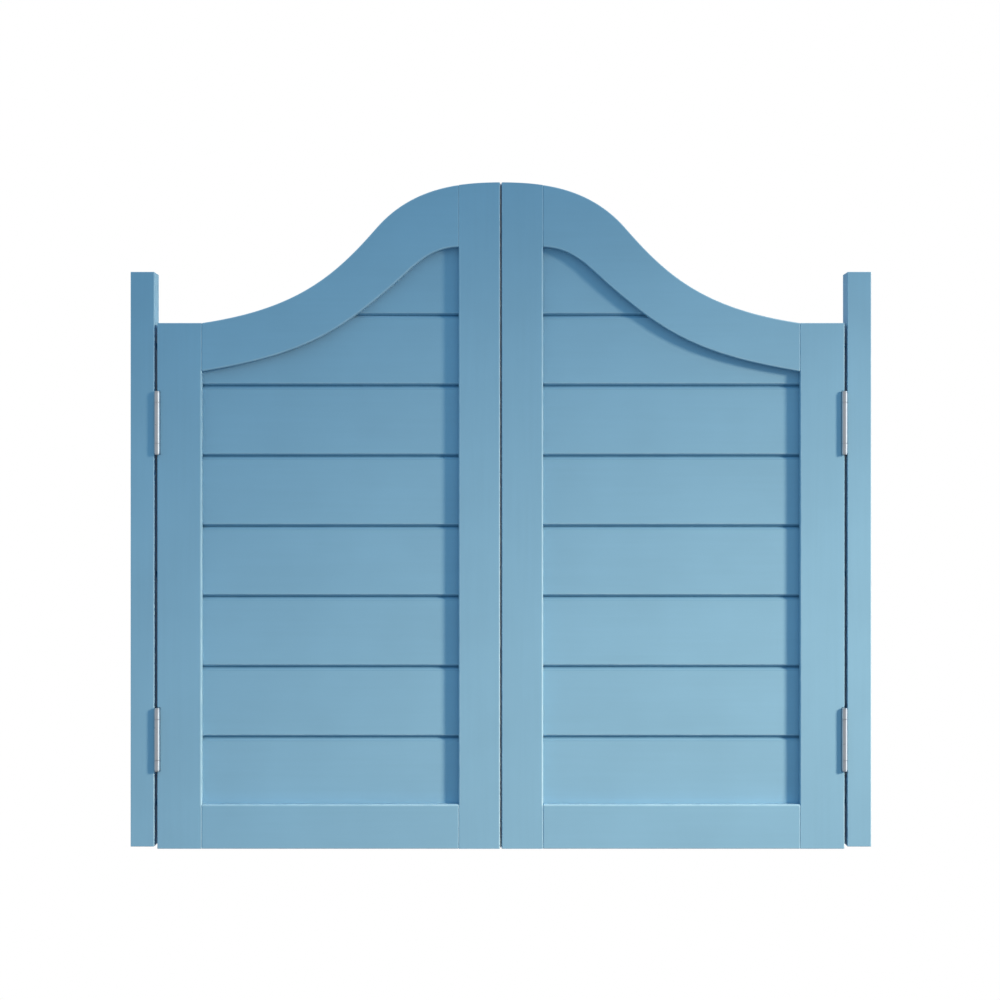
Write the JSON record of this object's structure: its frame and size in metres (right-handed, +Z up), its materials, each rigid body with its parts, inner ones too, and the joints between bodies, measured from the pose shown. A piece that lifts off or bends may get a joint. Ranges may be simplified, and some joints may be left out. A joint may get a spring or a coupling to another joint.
{
  "type": "cafe swinging doors",
  "caption": "Pair of arched half-height saloon door leaves with V-jointed boards, hung from slim jambs on double-action spring hinges.",
  "frame": {"origin": "middle of the doorway at the foot of the leaves, halfway through their thickness", "axes": "+X to the right across the doorway, +Y from the front to the back through the leaves, +Z up"},
  "size_m": [1, 0.0446, 0.9],
  "materials": {
    "painted_wood": "blue satin paint over joinery softwood",
    "satin_steel": "satin nickel-plated steel",
    "spring_steel": "oiled spring steel"
  },
  "bodies": {
    "frame": {"left_jamb": "painted_wood", "right_jamb": "painted_wood", "left_lower_jamb_flange": "satin_steel", "left_lower_jamb_spindle": "satin_steel", "left_lower_jamb_spring": "spring_steel", "left_upper_jamb_flange": "satin_steel", "left_upper_jamb_spindle": "satin_steel", "left_upper_jamb_spring": "spring_steel", "right_lower_jamb_flange": "satin_steel", "right_lower_jamb_spindle": "satin_steel", "right_lower_jamb_spring": "spring_steel", "right_upper_jamb_flange": "satin_steel", "right_upper_jamb_spindle": "satin_steel", "right_upper_jamb_spring": "spring_steel"},
    "left_links": {"left_lower_centre_plate": "satin_steel", "left_upper_centre_plate": "satin_steel"},
    "left_leaf": {"left_hinge_stile": "painted_wood", "left_meeting_stile": "painted_wood", "left_top_rail": "painted_wood", "left_bottom_rail": "painted_wood", "left_board_1": "painted_wood", "left_board_2": "painted_wood", "left_board_3": "painted_wood", "left_board_4": "painted_wood", "left_board_5": "painted_wood", "left_board_6": "painted_wood", "left_board_7": "painted_wood", "left_board_8": "painted_wood", "left_lower_door_flange": "satin_steel", "left_lower_door_spindle": "satin_steel", "left_lower_door_spring": "spring_steel", "left_upper_door_flange": "satin_steel", "left_upper_door_spindle": "satin_steel", "left_upper_door_spring": "spring_steel"},
    "right_links": {"right_lower_centre_plate": "satin_steel", "right_upper_centre_plate": "satin_steel"},
    "right_leaf": {"right_hinge_stile": "painted_wood", "right_meeting_stile": "painted_wood", "right_top_rail": "painted_wood", "right_bottom_rail": "painted_wood", "right_board_1": "painted_wood", "right_board_2": "painted_wood", "right_board_3": "painted_wood", "right_board_4": "painted_wood", "right_board_5": "painted_wood", "right_board_6": "painted_wood", "right_board_7": "painted_wood", "right_board_8": "painted_wood", "right_lower_door_flange": "satin_steel", "right_lower_door_spindle": "satin_steel", "right_lower_door_spring": "spring_steel", "right_upper_door_flange": "satin_steel", "right_upper_door_spindle": "satin_steel", "right_upper_door_spring": "spring_steel"}
  },
  "joints": [
    {"name": "left_jamb_swing", "type": "hinge", "parent": "frame", "child": "left_links", "pos_m": [-0.46385, -0.0184, 0], "axis": [0, 0, 1], "range_deg": [-90, 0], "stiffness_Nm_per_rad": 5, "springref_deg": 17.19},
    {"name": "left_door_swing", "type": "hinge", "parent": "left_links", "child": "left_leaf", "pos_m": [-0.46385, 0.0184, 0], "axis": [0, 0, 1], "range_deg": [0, 90], "stiffness_Nm_per_rad": 5, "springref_deg": -17.19},
    {"name": "right_jamb_swing", "type": "hinge", "parent": "frame", "child": "right_links", "pos_m": [0.46385, 0.0184, 0], "axis": [0, 0, 1], "range_deg": [-90, 0], "stiffness_Nm_per_rad": 5, "springref_deg": 17.19},
    {"name": "right_door_swing", "type": "hinge", "parent": "right_links", "child": "right_leaf", "pos_m": [0.46385, -0.0184, 0], "axis": [0, 0, 1], "range_deg": [0, 90], "stiffness_Nm_per_rad": 5, "springref_deg": -17.19}
  ]
}
